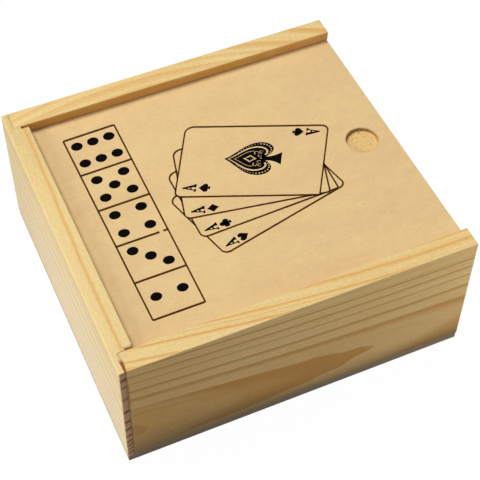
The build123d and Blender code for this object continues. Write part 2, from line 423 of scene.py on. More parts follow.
@effect("Paint", Place="Vector", Half="Vector", Edge="Float")
def sunk_paint(w, place, half, edge):
    """1 in the dimples of a tile or die: more than a hair below its skin, and clear of its rounded edges."""
    x, y, z = w.split(half - abs(place))
    nearest = w.least(x, y, z)
    middle = x + y + z - nearest - w.most(x, y, z)
    return [w.step(nearest, 0.015, 0.045) * w.step(middle, edge, edge + 0.05)]


def new_material(name, **fixed):
    """A material, its wiring and its shader's sockets, with values for some of them."""
    material = bpy.data.materials.new(name)
    material.use_nodes = True
    w, shader = Wiring(material.node_tree), material.node_tree.nodes["Principled BSDF"].inputs
    w.fill(shader, **fixed)
    return material, w, shader


def finish_wood(w, shader, shade, rough, height, depth):
    """Colour, roughness and bumps of a wooden surface; depth is how high the bumps are, in mm."""
    bump = w.node("Bump")
    w.fill(bump.inputs, Distance=depth * MM, Height=height)
    w.fill(shader, Base_Color=shade, Roughness=rough, Normal=Signal(w, bump.outputs[0]))


def darker(shade, share):
    """A share of a colour's light."""
    return tuple(share * value for value in shade)


def new_object(name, data):
    """An object in the scene, at the origin."""
    made = bpy.data.objects.new(name, data)
    bpy.context.scene.collection.objects.link(made)
    return made


def dress(node, material):
    """Gives a CAD node its material."""
    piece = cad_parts[node]
    if not piece.material_slots:
        piece.data.materials.append(material)
    for place in piece.material_slots:
        place.material = material


def low_and_high(node):
    """Low and high corner of a CAD node's box, in millimetres."""
    return tuple(np.array(corner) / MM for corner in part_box(node))


def middle_and_half(node):
    """Middle and half size of a CAD node's box, in millimetres."""
    low, high = low_and_high(node)
    return ((low + high) / 2).tolist(), ((high - low) / 2).tolist()


# ---- Pine boards ----------------------------------------------------------------------------
# Lengths are in mm. Four numbers for a change read: between the first two, from the third to the
# fourth. Two numbers read: between them, from 0 to 1.
@dataclass
class Board:
    """How a board lay in its tree, and how its faces are toned."""

    axes: str  # the grain runs along the first
    heart: tuple  # the tree's heart at the board's middle
    rings: list  # outer radius, width of the late wood, its strength and its dark edge's
    slope: tuple = (0, 0, 0)
    bend: tuple = (0, 0, 0)
    waver: float = 0.6  # how far the rings wander
    early: str = "pale"  # colour of the early wood
    high: str = "pale"  # its colour high up, painted light
    # Over z: where the early colour gives way to the colour high up, and how far: painted light.
    high_from: tuple = (15.0, 72.0, 0.0, 0.6)
    faint: float = 1.0  # strength of the rings on the long faces
    foot: float = 0.1  # how much painted shade darkens the foot
    dim: float = 0.0  # how dull the paler wood is towards the back
    flame: bool = False  # whether it was cut so near the heart that its rings close on its face


BOARDS = {
    "front_board": Board(
        axes="xyz", heart=(0, -105.55, 19.51), slope=(0, -0.04776, -0.03195), bend=(0, 0.000074, 0.000277),
        # On its upright faces: painted warmer bounce light low down, paler painted light high up and towards
        # the right, and painted shade along the foot.
        waver=0.4, early="warm", high="crest", high_from=(26.0, 54.0, 0.0, 0.9), foot=0.6, flame=True,
        rings=[
            (24.4, 3.2, 1.0, 0.2), (30.1, 3.6, 0.9, 0.2), (35.3, 2.6, 0.7, 0.2), (40.0, 1.7, 0.75, 0.32),
            (45.0, 1.6, 0.45, 0.2), (49.4, 1.7, 0.58, 0.32), (54.1, 1.5, 0.75, 0.35), (55.5, 0.7, 0.75, 0.15),
            (58.8, 0.8, 0.95, 0.3), (60.1, 0.5, 0.5, 0.15), (61.3, 0.8, 0.8, 0.2), (64.5, 1.4, 0.7, 0.2),
            (66.8, 0.8, 0.85, 0.3), (69.6, 1.0, 0.4, 0.2),
        ],
    ),
    "back_board": Board(
        axes="xyz", heart=(0, -57.69, 148.1), slope=(0, -0.099, 0), bend=(0, -0.00225, 0), waver=0.7,
        rings=[
            (141.0, 1.6, 0.6, 0.7), (147.2, 2.0, 0.5, 0.7), (152.3, 4.2, 0.42, 0.3),
            (156.6, 2.6, 0.3, 0.3), (161.6, 4.2, 0.55, 0.4), (169.8, 4.4, 0.65, 0.5),
            (175.5, 2.4, 0.45, 0.5), (180.4, 2.0, 0.45, 0.6), (186.0, 1.6, 0.4, 0.6),
            (191.0, 1.9, 0.5, 0.7), (197.5, 1.6, 0.45, 0.6), (203.0, 1.9, 0.5, 0.7),
            (209.5, 1.6, 0.45, 0.6), (216.0, 1.9, 0.45, 0.6),
        ],
    ),
    "closed_end_board": Board(
        # Its upright faces take the whiter early wood, most of all low down: painted sheen and floor bounce
        # light.
        axes="yxz", heart=(0, -40.0, -60.0), slope=(0, 0, -0.0035), waver=0.35, early="white", faint=0.36,
        foot=0.0, dim=1.0,
        rings=[
            (73.2, 1.3, 0.8, 0.8), (76.0, 1.3, 0.9, 0.8), (79.2, 1.4, 1.1, 0.8), (81.9, 1.3, 0.9, 0.8),
            (84.5, 1.3, 1.1, 0.8), (87.5, 1.5, 1.1, 0.8), (91.5, 1.7, 1.2, 0.8), (96.6, 1.9, 1.2, 0.8),
            (102.3, 2.1, 1.2, 0.8), (109.9, 2.4, 1.2, 0.8), (118.7, 2.2, 0.8, 0.8), (127.4, 1.8, 0.9, 0.8),
            (132.9, 2.6, 1.2, 0.8), (136.2, 0.5, 1.7, 0.8),
        ],
    ),
    "open_end_board": Board(
        axes="yxz", heart=(0, 52.0, -30.0), slope=(0, -0.02, 0.01), faint=0.9,
        rings=[
            (38.0, 2.0, 0.7, 0.8), (44.5, 1.8, 0.7, 0.8), (50.2, 1.8, 0.6, 0.8), (56.4, 2.0, 0.7, 0.8),
            (61.8, 1.6, 0.6, 0.8), (67.4, 2.0, 0.8, 0.8), (72.6, 1.5, 0.6, 0.8), (78.0, 2.0, 0.7, 0.8),
            (83.5, 1.6, 0.6, 0.8), (89.5, 2.0, 0.7, 0.8), (95.0, 1.8, 0.7, 0.8), (101.0, 1.8, 0.7, 0.8),
        ],
    ),
}
RING_FADE = 0.35  # how far past a ring's edge the next ring's strength begins
BEFORE_FIRST, AFTER_LAST = 12, 6  # plain wood inside the first ring and outside the last
LATE_RISE = 0.3  # share of a ring over which its late wood comes up

# The flame figure.
HEART_WOBBLE = (33.0, 29.0, 0.0, 1.3)  # over the radius: how much the rings wobble at the heart
HEART_AMBER = (30.0, 27.0, 0.0, 0.4)  # over the radius: amber wood at the heart
CORNER_AMBER = (22.0, 46.0, 0.0, 0.6)  # along the board: amber wood in its low corner
CORNER_SLANT = 2.6  # how far that wood's border leans over per height
LATE_THIN = (-75.0, -25.0, 0.3, 0.0)  # along the board: thinner late wood at the closed end
THIN_INSIDE = (32.0, 31.5)  # over the radius: which rings have it
FACE_RINGS_END = (54.2, 55.0)  # over the radius: where rings grow faint on the face
FACE_FADE = 0.75  # how faint
UPPER_LIGHT_FADE = (-80.0, -20.0, 0.5, 1.0)  # along the board: how much of the painted upper light shows, more towards the right

FOOT_SHADE_REACH = (-50.0, 5.0, 36.0, 19.0)  # over x: how high the painted shade along the foot reaches
FOOT_SHADOW_LINE = (4.0, 6.5, 0.4, 0.0)  # over z: the painted shadow line just above the base panel
CORNER_JOINT = (-79.5, 67.25)  # x of the joint, and how far out in y it starts
JOINT_FADE = (-72.5, -70.0, 1.0, 0.2)  # over y: the joint's line is fainter away from the front
SIDE_BOARD_INSIDE = 67.25  # y of the side boards' inner faces
LID_UNDERSIDE = 62.0  # z of the lid's lower face


def ring_lines(rings):
    """Broken lines over the radius: rings counted from the first, with late wood from each half to
    the next whole number, the strength of the late wood, and the strength of its dark edge."""
    start = rings[0][0] - BEFORE_FIRST
    count, strengths, edges = [(start, 0.0)], [(start, rings[0][2])], [(start, rings[0][3])]
    for number, (radius, width, strength, edge) in enumerate(rings):
        _, _, next_strength, next_edge = rings[min(number + 1, len(rings) - 1)]
        count += [(radius - width, number + 0.5), (radius, number + 1.0)]
        strengths += [(radius, strength), (radius + RING_FADE, next_strength)]
        edges += [(radius, edge), (radius + RING_FADE, next_edge)]
    count.append((rings[-1][0] + AFTER_LAST, len(rings) + 0.45))
    return count, strengths, edges


def flame_figure(w, place, radius):
    """Radius with a soft wobble at the heart, where in a ring the late wood starts, the amber wood
    of the low right corner and the heart, how much the rings show, and how much painted upper light shows
    along the board."""
    x, _, z = w.split(place)
    wobble = (w.noise(place, (0.06, 0.2, 0.2), 1) - 0.5) * w.step(radius, *HEART_WOBBLE)
    radius = radius + wobble
    late_from = w.step(x, *LATE_THIN) * w.step(radius, *THIN_INSIDE) + 0.5
    amber = w.step(x - z * CORNER_SLANT, *CORNER_AMBER) + w.step(radius, *HEART_AMBER)
    shown = 1.0 - w.step(radius, *FACE_RINGS_END) * w.facing("y") * FACE_FADE
    return radius, late_from, amber, shown, w.step(x, *UPPER_LIGHT_FADE)


def pine_faces(w, board, looks, place, height):
    """Colour of the long faces and of the end grain, and the fibres. Returns both."""
    radius = growth_rings(w, Place=place, Heart=board.heart, Slope=board.slope, Bend=board.bend,
                          Waver=board.waver)["Radius"]
    late_from, amber, shown, crest = 0.5, 0.0, 1.0, 1.0
    if board.flame:
        radius, late_from, amber, shown, crest = flame_figure(w, place, radius)
    count, strengths, edges = ring_lines(board.rings)
    part = w.math("FRACT", w.curve(radius, count))
    fibre = wood_fibre(w, Place=place, Along=0.05, Across=1.6)
    soft = 0.72 + fibre["Streak"] * 0.56
    late = w.step(part, late_from, late_from + LATE_RISE) * w.step(part, 0.975, 1.0, 1.0, 0.0)
    late = late * (w.curve(radius, strengths) * shown) * soft
    edge = w.step(part, 0.6, 0.85) * w.step(part, 0.95, 1.0, 1.0, 0.0)
    edge = edge * (w.curve(radius, edges) * board.faint)
    edge = w.math("MULTIPLY", edge, w.level(0.8, 0.12) * shown, clamp=True)

    halo = w.step(w.noise(w.join(0.0, radius, 0.0), 0.9, 2, 0.6), 0.35, 0.75, 0.0, 0.3)
    patch = w.step(fibre["Patch"], 0.35, 0.7, 0.0, 0.16)
    # Painted light by height: the early colour gives way to the colour high up, on the front board more so
    # towards the right.
    upper = w.step(height, *board.high_from) * crest
    early = w.mix(upper, getattr(looks, board.early), getattr(looks, board.high))
    # Level faces take the plain early wood; upright faces keep the colours above: painted warmer bounce light
    # on the front board and painted sheen on the closed end board.
    early = w.mix(w.level(), early, looks.pale)
    early = w.mix((halo + patch) * board.faint + amber * soft, early, looks.amber)
    early = w.mix(w.step(w.split(place)[0], 0.0, 85.0) * board.dim, early, looks.dim, "MULTIPLY")
    along = w.mix(w.math("MULTIPLY", late, board.faint, clamp=True), early, looks.amber)
    along = w.mix(edge, along, looks.brown)
    across = w.mix(w.math("MULTIPLY", late, 0.85, clamp=True), looks.end_pale, looks.end_dark)
    shade = w.mix(w.step(w.facing(board.axes[0]), 0.6, 0.95), along, across)
    level = 1.0 - looks.fibre - looks.mottle + fibre["Streak"] * (2 * looks.fibre)
    return w.shaded(shade, level + fibre["Mottle"] * (2 * looks.mottle)), fibre


def pine_material(node, board, looks):
    """Solid pine: rings and fibres, painted shade along the foot, painted shade on the side boards' inner
    faces above the lid, rubbed edges and dark corner joints.
    """
    material, w, shader = new_material("pine_" + node, IOR=1.45, Specular_IOR_Level=0.2)
    place = w.place()
    x, y, z = w.split(place)
    shade, fibre = pine_faces(w, board, looks, w.place(board.axes), z)
    # Painted shade along the foot, reaching higher towards the left, and a painted shadow line just above the
    # base panel.
    low = w.math("POWER", w.step(z, 3.0, w.step(x, *FOOT_SHADE_REACH), 1.0, 0.0), 2.0) + w.step(z, *FOOT_SHADOW_LINE)
    shade = w.mix(low * board.foot, shade, looks.foot)
    # Painted shade on the side boards' inner faces above the lid.
    if board.axes[0] == "x":
        inner = w.step(abs(y), SIDE_BOARD_INSIDE + 0.6, SIDE_BOARD_INSIDE + 0.2)
        above = inner * w.step(z, LID_UNDERSIDE, LID_UNDERSIDE + 1.0)
        shade = w.mix(above * w.facing("y") * 0.85, shade, looks.sawn)
    middle, half = middle_and_half(node)
    wear = edge_wear(w, Place=w.place("xyz", middle), Half=half, Reach=1.4)["Wear"]
    shade = w.mix(wear * 0.35, shade, looks.pale)
    if node != "open_end_board":
        line, start = CORNER_JOINT
        gap = corner_joint(w, Place=place, Line=line, Start=start, Width=0.9)["Gap"]
        gap = gap * w.level(0.3, 0.9) * w.step(y, *JOINT_FADE)
        shade = w.mix(gap, shade, looks.gap)
    rough = w.step(fibre["Streak"], 0.3, 0.7, 0.62, 0.74)
    finish_wood(w, shader, shade, rough, fibre["Height"], 0.05)
    return material


# ---- Plywood --------------------------------------------------------------------------------
THUMB_RECESS = (67.0, 0.7, 7.5)  # x, y and radius of the recess in the lid, in mm
# Each panel's axes, of which the third counts through the plies and the first runs along the face's
# grain, the thickness of its outer plies in mm, and whether it has a dark rim with painted contact shade and
# a scorched recess.
PANELS = {
    "sliding_lid": ("xyz", 0.85, False, True),
    "base_panel": ("xyz", 0.8, True, False),
    "long_divider": ("yzx", 0.8, False, False),
    "short_divider": ("xzy", 0.8, False, False),
}


def scorched(w, place):
    """Ragged burn on the wall of the thumb recess and on the wood next to it."""
    x, y, _ = w.split(w.place())
    middle_x, middle_y, radius = THUMB_RECESS
    ragged = w.noise(place, 0.9, 3, 0.7)
    off = w.reach(w.join(x - middle_x, y - middle_y, 0.0)) + (ragged - 0.5) * 1.6
    wall = w.step(off, radius - 0.9, radius) * w.step(off, radius + 0.7, radius + 0.1)
    upright = w.step(w.facing("z"), 0.4, 0.9, 0.85, 0.35) * w.step(ragged, 0.3, 0.65, 1.0, 0.45)
    return wall * upright


def plywood_material(node, looks, axes, ply, dark_shaded_rim, recessed):
    """Three-ply board: two plies with the face's grain, a core with its grain across, and glue lines."""
    material, w, shader = new_material("plywood_" + node, IOR=1.45, Specular_IOR_Level=0.1)
    middle, half = middle_and_half(node)
    place = w.place(axes, middle)
    along, across, depth = w.split(place)
    inner = half["xyz".index(axes[2])] - abs(depth)
    face = wood_fibre(w, Place=place, Along=0.06, Across=0.9)
    core = wood_fibre(w, Place=w.join(across, along, depth), Along=0.08, Across=2.4)
    shade = w.mix(w.step(face["Patch"], 0.3, 0.7), looks.face, looks.blush)
    speck = w.noise(place, (0.5, 0.9, 0.9), 3, 0.65)
    mottle = w.noise(place, (0.16, 0.2, 0.2))
    shade = w.shaded(shade, 0.82 + face["Streak"] * 0.06 + speck * 0.16 + mottle * 0.14)
    pores = w.step(w.noise(place, (0.9, 1.5, 1.5), 1), 0.68, 0.76, 0.0, 0.4)
    shade = w.mix(pores, shade, looks.glue)
    core_shade = w.mix(w.step(core["Streak"], 0.25, 0.75, 0.0, 0.6), looks.core, looks.glue)
    if recessed:
        scooped = w.noise(place, 0.6, 4, 0.65, 1.2)
        core_shade = w.mix(w.step(scooped, 0.44, 0.62), looks.scooped, looks.core)
        core_shade = w.mix(w.step(scooped, 0.36, 0.46, 0.75, 0.0), core_shade, looks.glue)
    shade = w.mix(w.step(inner, ply - 0.04, ply + 0.04), shade, core_shade)
    shade = w.mix(w.step(abs(inner - ply), 0.05, 0.14, 0.85, 0.0), shade, looks.glue)
    if recessed:
        shade = w.mix(scorched(w, place), shade, looks.burn)
    # The base panel's edges: its own darker plywood edge together with painted contact shade.
    if dark_shaded_rim:
        shade = w.mix(w.step(w.facing("z"), 0.3, 0.7, 1.0, 0.0) * 0.85, shade, looks.rim)
    finish_wood(w, shader, shade, w.step(face["Streak"], 0.3, 0.7, 0.52, 0.64), face["Height"], 0.03)
    return material


# ---- Surfaces -------------------------------------------------------------------------------
def skin(rings, around, over):
    """Points and quads of a surface through rings of points; around closes each ring, and over joins
    the last ring to the first."""
    count, points = rings.shape[:2]
    index = np.arange(count * points).reshape(count, points)
    here, there = (index, np.roll(index, -1, 0)) if over else (index[:-1], index[1:])
    if around:
        quads = np.stack((here, np.roll(here, -1, 1), np.roll(there, -1, 1), there), -1)
    else:
        quads = np.stack((here[:, :-1], here[:, 1:], there[:, 1:], there[:, :-1]), -1)
    return rings.reshape(-1, 3), [quads.reshape(-1, 4)]


def lidded(rings, low_middle, high_middle):
    """A closed body: rings from its low rim to its high rim, each end closed by a fan about its middle."""
    points, faces = skin(rings, True, False)
    around = rings.shape[1]
    low, high = np.arange(around), np.arange(around) + len(points) - around
    bottom, top = len(points), len(points) + 1
    faces.append(np.stack((np.full(around, bottom), np.roll(low, -1), low), -1))
    faces.append(np.stack((np.full(around, top), high, np.roll(high, -1)), -1))
    return np.vstack((points, low_middle, high_middle)), faces


def new_piece(name, parts, material, body):
    """One object from parts, each its points and its faces, riding on a CAD body."""
    start, points, faces = 0, [], []
    for part_points, part_faces in parts:
        points.append(part_points)
        faces += [face for block in part_faces for face in (block + start).tolist()]
        start += len(part_points)
    mesh = bpy.data.meshes.new(name)
    mesh.from_pydata(np.vstack(points), [], faces)
    if mesh.validate():
        raise RuntimeError(f"{name} has faces that are not sound")
    mesh.materials.append(material)
    piece = new_object(name, mesh)
    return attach(piece, body)


def heights(flat, levels):
    """Flat points repeated at each level: rings of points in space."""
    rings = np.broadcast_to(flat, (len(levels), *flat.shape[-2:]))
    z = np.broadcast_to(np.array(levels)[:, None, None], (*rings.shape[:2], 1))
    return np.concatenate((rings, z), -1)


def turned(points, angle, place=(0, 0)):
    """Flat points turned about the origin by an angle in radians, then moved."""
    cos, sin = np.cos(angle), np.sin(angle)
    return points @ np.array(((cos, sin), (-sin, cos))) + np.array(place)


def arc(middle, radius, start, end, steps=9):
    """Points on part of a circle, from one angle to another in whole turns."""
    angle = 2 * np.pi * np.linspace(start, end, steps)
    return np.array(middle) + radius * np.stack((np.cos(angle), np.sin(angle)), -1)


CORNERS = np.array(((1, 1), (-1, 1), (-1, -1), (1, -1)))


def rounded_rectangle(width, height, radius, steps=8):
    """Outline of a rectangle with round corners, anticlockwise: quarter circles about four middles.

    radius is one number, or one for each corner from the back right one on.
    """
    quarter = arc((0, 0), 1, 0, 0.25, steps)
    half = np.array((width, height)) / 2
    radii = np.broadcast_to(radius, 4)
    return np.vstack([
        turned(radius * quarter, turn * np.pi / 2, (half - radius) * corner)
        for turn, (radius, corner) in enumerate(zip(radii, CORNERS))
    ])


def round_turn(steps):
    """Angles of a full turn, without the last, which is the first again."""
    return np.linspace(0, 2 * np.pi, steps, endpoint=False)


def circle(width, steps=40):
    """Outline of a circle, anticlockwise."""
    t = round_turn(steps)
    return width / 2 * np.stack((np.cos(t), np.sin(t)), -1)


def heart(width, height, steps=72, power=3.0):
    """Outline of a heart, anticlockwise from its notch: sin t to a power across (a smaller one
    makes straighter sides), and up 13 cos t - 5 cos 2t - 2 cos 3t - cos 4t, set to a width and
    height about its middle."""
    t = -round_turn(steps)
    x = np.sign(np.sin(t)) * np.abs(np.sin(t)) ** power
    y = 13 * np.cos(t) - 5 * np.cos(2 * t) - 2 * np.cos(3 * t) - np.cos(4 * t)
    return np.stack((x * width / np.ptp(x), (y + 2.5) * height / np.ptp(y)), -1)


def diamond(width, height, steps=48):
    """Outline of a diamond with slightly hollow sides: |x|^0.88 + |y|^0.88 = 1."""
    t = round_turn(steps)
    grown = [np.sign(side) * np.abs(side) ** 2.27 for side in (np.cos(t), np.sin(t))]
    return np.stack(grown, -1) * (width / 2, height / 2)


def stem(top, bottom, neck, foot, steps=9):
    """Outline of a stem that flares from its neck to its foot as a square law."""
    t = np.linspace(0, 1, steps)
    half = neck / 2 + (foot - neck) / 2 * t ** 2
    y = top + (bottom - top) * t
    left, right = np.stack((-half, y), -1), np.stack((half, y), -1)
    return np.vstack((left, right[::-1]))


def marks_along(closed):
    """How far along a closed outline each of its points lies; its first point is also its last."""
    sides = np.linalg.norm(np.diff(closed, axis=0), axis=1)
    return np.concatenate(((0,), np.cumsum(sides)))


def points_along(closed, marks, spots):
    """Points at given distances along a closed outline."""
    return np.stack([np.interp(spots, marks, closed[:, axis]) for axis in (0, 1)], -1)


# ---- Print on the lid -----------------------------------------------------------------------
def on_lid(points, looks):
    """Artwork millimetres to metres on the lid: shear and squeeze, then shrink towards the front."""
    x = points[..., 0] + looks.shear * points[..., 1]
    y = points[..., 1] * looks.squeeze
    weight = 1 - looks.narrowing[0] * x - looks.narrowing[1] * y
    return np.stack((x / weight, y / weight), -1) * MM


INK_BITE = 0.01  # mm that the ink goes into the wood
BARE_LIFT = 0.02  # mm that the bare wood inside the big spade stands over its ink


def ink_levels(looks):
    """Bottom and top of the ink."""
    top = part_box("sliding_lid")[1].z
    return top - INK_BITE * MM, top + looks.thickness


def ink_blot(outline, looks):
    """A filled shape, seen whole from the middle of its outline."""
    low, high = ink_levels(looks)
    flat, middle = on_lid(outline, looks), on_lid(outline.mean(0), looks)
    return lidded(heights(flat, (low, high)), (*middle, low), (*middle, high))


def band(outer, inner, looks, around):
    """A band of ink between two lines of the same number of points."""
    low, high = ink_levels(looks)
    outer, inner = on_lid(outer, looks), on_lid(inner, looks)
    rings = np.concatenate((heights(outer, (high,)), heights(inner, (high, low)), heights(outer, (low,))))
    return skin(rings, around, True)


def ink_stroke(path, widths, looks):
    """An open line along a path: the path pushed to both sides along its normal, and closed ends."""
    along = np.gradient(path, axis=0)
    normal = np.stack((along[:, 1], -along[:, 0]), -1) / np.linalg.norm(along, axis=1)[:, None]
    reach = normal * np.broadcast_to(widths, len(path))[:, None] / 2
    points, faces = band(path + reach, path - reach, looks, False)
    starts = np.arange(4) * len(path)
    faces.append(np.stack((starts, (starts + len(path) - 1)[::-1])))
    return points, faces


def frame_line(outline_of, looks):
    """A closed line of the print's width along an outline given as a function of its growth."""
    half = looks.line / MM / 2
    return band(outline_of(half), outline_of(-half), looks, True)


# Places of the pips on each die face of the strip, in mm from its middle.
PIP_SPOTS = {
    6: [(x, y) for y in (6.2, -6.2) for x in (-7.8, 0, 7.8)],
    5: [(-6.5, 6.45), (6.5, 6.45), (0, 0), (-6.5, -6.45), (6.5, -6.45)],
    4: [(-6.4, 6.45), (6.3, 6.45), (-6.4, -6.45), (6.3, -6.45)],
    3: [(-6.55, 6.45), (0, 0), (6.4, -6.45)],
    2: [(-6.3, 0), (6.3, 0)],
}
PIP_LIFT = 0.45  # mm that the pips sit above the middle of their die face
STRIP_CORNER = 0.6  # radius of the strip's corners, in mm
STRIP_LINES = (0.85, 1.4)  # width of the strip's long and short lines, as shares of the print's line
DIVIDER_BREAK = (3, 8.4, 10.2)  # which dividing line has a gap in it, and from where to where


def strip_print(looks):
    """Strip of five die faces, the highest at the back.

    Returns the lines (a frame and four dividing lines) and the pips.
    """
    width, depth = looks.strip_cell
    upright, level = STRIP_LINES
    cells = len(PIP_SPOTS)

    def laid(points):
        return turned(points, looks.strip_turn, looks.strip_middle)

    def outline(growth):
        size = (width + 2 * upright * growth, cells * depth + 2 * level * growth)
        return laid(rounded_rectangle(*size, STRIP_CORNER + growth) - (0, cells * depth / 2))

    lines, pips = [frame_line(outline, looks)], []
    broken, gap_start, gap_end = DIVIDER_BREAK
    for number in range(1, cells):
        ends = [-width / 2, gap_start, gap_end, width / 2] if number == broken else [-width / 2, width / 2]
        for start, end in zip(ends[::2], ends[1::2]):
            line = np.array(((start, -number * depth), (end, -number * depth)))
            lines.append(ink_stroke(laid(line), level * looks.line / MM, looks))
    for number, spots in enumerate(PIP_SPOTS.values()):
        for x, y in spots:
            middle = (x, y + PIP_LIFT - (number + 0.5) * depth)
            pips.append(ink_blot(laid(circle(looks.pip / MM) + middle), looks))
    return lines, pips


# Cards from the top one down: middle and turn in the artwork, suit, how far the index stands in
# from the card's short and long side, and the radius of the front right corner.
PRINTED_CARDS = [
    ((14.62, 10.49), -24.92, "spade", (6.0, 5.8), 0.8),
    ((11.77, 4.14), -10.99, "diamond", (6.2, 4.0), 1.2),
    ((10.28, -2.57), 2.37, "club", (5.6, 4.0), 1.2),
    ((10.02, -10.24), 15.38, "heart", (5.9, 4.1), 3.0),
]
FAR_INDEX = (6.8, 4.25)  # the same for the upside-down index of the top card
LETTER, SUIT = (4.9, 6.0), (5.3, 5.8)  # width and height of the letter and of the suit sign, in mm
LETTER_TO_SUIT = 7.2
CARD_LINES = (0.8, 1.2)  # width of upright and level card lines, as shares of the print's line
CARD_STEPS = 12  # points on each round corner
RUN_SPACING = 0.2  # mm between the points that are tested for what covers them
# Bars of the capital A: a thin and a thick leg, a bar between them and a foot under each. Ends are
# shares of half the letter's width and height, and widths are in mm.
LETTER_BARS = [
    ((-0.66, -1), (0.0, 1), (0.6, 0.7)),
    ((-0.1, 1), (0.62, -1), (0.95, 1.5)),
    ((-0.46, -0.34), (0.42, -0.34), (0.75, 0.75)),
    ((-1.0, -1), (-0.28, -1), (0.85, 0.85)),
    ((0.16, -1), (1.0, -1), (0.9, 0.9)),
]


def corner_radii(card, looks):
    """Radii of a printed card's corners, anticlockwise from the back right one."""
    return np.array((*looks.card_corners, card[4]))


def hidden_by(points, card, looks):
    """How far points lie inside a card's outline; the distance to a rounded rectangle, negated."""
    place, turn = card[:2]
    local = turned(points - place, -np.radians(turn))
    corner = np.argmax(np.sign(local) @ CORNERS.T, axis=-1)
    radius = corner_radii(card, looks)[corner]
    off = np.abs(local) - (np.array(looks.card_size) / 2 - radius[:, None])
    outside = np.linalg.norm(np.maximum(off, 0), axis=-1) + np.minimum(off.max(-1), 0)
    return radius - outside


def seen_runs(outline, cards, looks):
    """The stretches of a closed outline that no card above covers."""
    closed = np.vstack((outline, outline[:1]))
    marks = marks_along(closed)
    spots = np.unique(np.concatenate((marks, np.arange(0, marks[-1], RUN_SPACING))))
    path = points_along(closed, marks, spots)[:-1]
    covered = np.any([hidden_by(path, card, looks) > 0 for card in cards], axis=0)
    if not covered.any():
        return [np.vstack((path, path[:1]))]
    first = int(np.argmax(covered))
    path, covered = np.roll(path, -first, 0), np.roll(covered, -first)
    change = np.flatnonzero(np.diff(covered.astype(int)))
    runs = [path[a:b + 2] for a, b in zip(change[::2], change[1::2])]
    if len(change) % 2:
        runs.append(np.vstack((path[change[-1]:], path[:1])))
    return runs


def thinned(path):
    """A path without the points that lie on a straight line between their neighbours."""
    bend = np.linalg.norm(path[2:] - 2 * path[1:-1] + path[:-2], axis=1)
    return path[np.concatenate(((True,), bend > 1e-4, (True,)))]


def portrait(points, spot, card, looks, side=1):
    """Upright shapes placed on a card whose top is its left short side, or at side -1 its right one."""
    place = side * (np.array(spot) - np.array(looks.card_size) / 2)
    return turned(turned(points, side * np.pi / 2, place), np.radians(card[1]), card[0])


def suit_outlines(suit, width, height):
    """Filled outlines that make up one suit sign, about its middle, upright."""
    if suit == "heart":
        return [heart(width, height * 0.9)]
    if suit == "diamond":
        return [diamond(width, height)]
    foot = stem(-0.05 * height, -0.47 * height, 0.14 * width, 0.42 * width)
    if suit == "spade":
        return [-heart(width, height * 0.8) + (0, 0.10 * height), foot]
    spots = ((0, 0.25 * height), (-0.25 * width, -0.06 * height), (0.25 * width, -0.06 * height))
    core = circle(0.34 * width, 24) + (0, 0.02 * height)
    return [circle(0.52 * width, 32) + spot for spot in spots] + [core, foot]


def index_print(card, spot, looks, side=1):
    """A card's index: the letter, and the suit sign beside it, both upright on the card."""
    from_end, from_side = spot
    parts = []
    for start, end, widths in LETTER_BARS:
        path = np.array((start, end)) * LETTER / 2
        parts.append(ink_stroke(portrait(path, spot, card, looks, side), widths, looks))
    for outline in suit_outlines(card[2], *SUIT):
        place = (from_end + LETTER_TO_SUIT, from_side)
        parts.append(ink_blot(portrait(outline, place, card, looks, side), looks))
    return parts


def line_widths(path, looks):
    """Width along an open line: from the upright share to the level one with cos^2 of its turn."""
    along = np.gradient(path, axis=0)
    upright, level = CARD_LINES
    return looks.line / MM * (upright + (level - upright) * along[:, 0] ** 2 / (along ** 2).sum(1))


def cards_print(looks):
    """Four fanned cards: each outline is drawn where no card above covers it.

    Returns the outlines and the indices.
    """
    top = PRINTED_CARDS[0]

    def outline(card, growth=0.0):
        sides = [side + 2 * growth * share for side, share in zip(looks.card_size, CARD_LINES)]
        flat = rounded_rectangle(*sides, corner_radii(card, looks) + growth, CARD_STEPS)
        return turned(flat, np.radians(card[1]), card[0])

    lines = [frame_line(lambda growth: outline(top, growth), looks)]
    for number, card in enumerate(PRINTED_CARDS[1:], 1):
        for run in seen_runs(outline(card), PRINTED_CARDS[:number], looks):
            if len(run) > 3:
                path = thinned(run)
                lines.append(ink_stroke(path, line_widths(path, looks), looks))
    signs = [part for card in PRINTED_CARDS for part in index_print(card, card[3], looks)]
    return lines, signs + index_print(top, FAR_INDEX, looks, -1)


SPADE_LIFT = 1.4  # mm that the big spade sits above the card's middle
SPADE_BODY = (21.8, 22.8, 144, 2.35)  # a heart upside down, with its tip at SPADE_TIP
SPADE_TIP = 13.5
SPADE_STEM = (-6.0, -13.6, 2.4, 8.2)  # top, bottom, neck and foot
SPADE_WAIST, WAIST_PLACE = (6.0, 6.4), (0, -4.2)  # the diamond that joins stem and body
# The body's outline shrunk across and along about a height, for the beads, the line and the inner vee.
BEAD_LINE, INNER_LINE, INNER_VEE = (0.895, 0.904, 1.0), (0.706, 0.794, 4.28), (0.46, 0.55, 3.0)
BEADS, FIRST_BEAD = 46, 0.5  # beads on the whole outline, and where the first lies along it
BIG_BEAD, SMALL_BEAD, BEAD_CHANGE = 0.7, 0.42, -2.0  # widths, and the height where they change
BEADS_BELOW = 7.5  # no beads above this height, nor this near to the stem's top
CLEAR_OF_STEM, STEM_TOP = 2.2, (0, -6.2)
LINE_LEFT_OUT = 15  # points of the inner line left out at each side of the notch
LINE_WIDTHS = ((-6.0, 2.0, 11.0), (0.8, 0.85, 0.36))  # at heights, the inner line's widths
VEE_FROM, VEE_WIDTH = -0.5, 0.22
LOZENGE, LOZENGE_HOLE, LOZENGE_PLACE = (4.8, 6.4), 0.7, (0, 1.3)
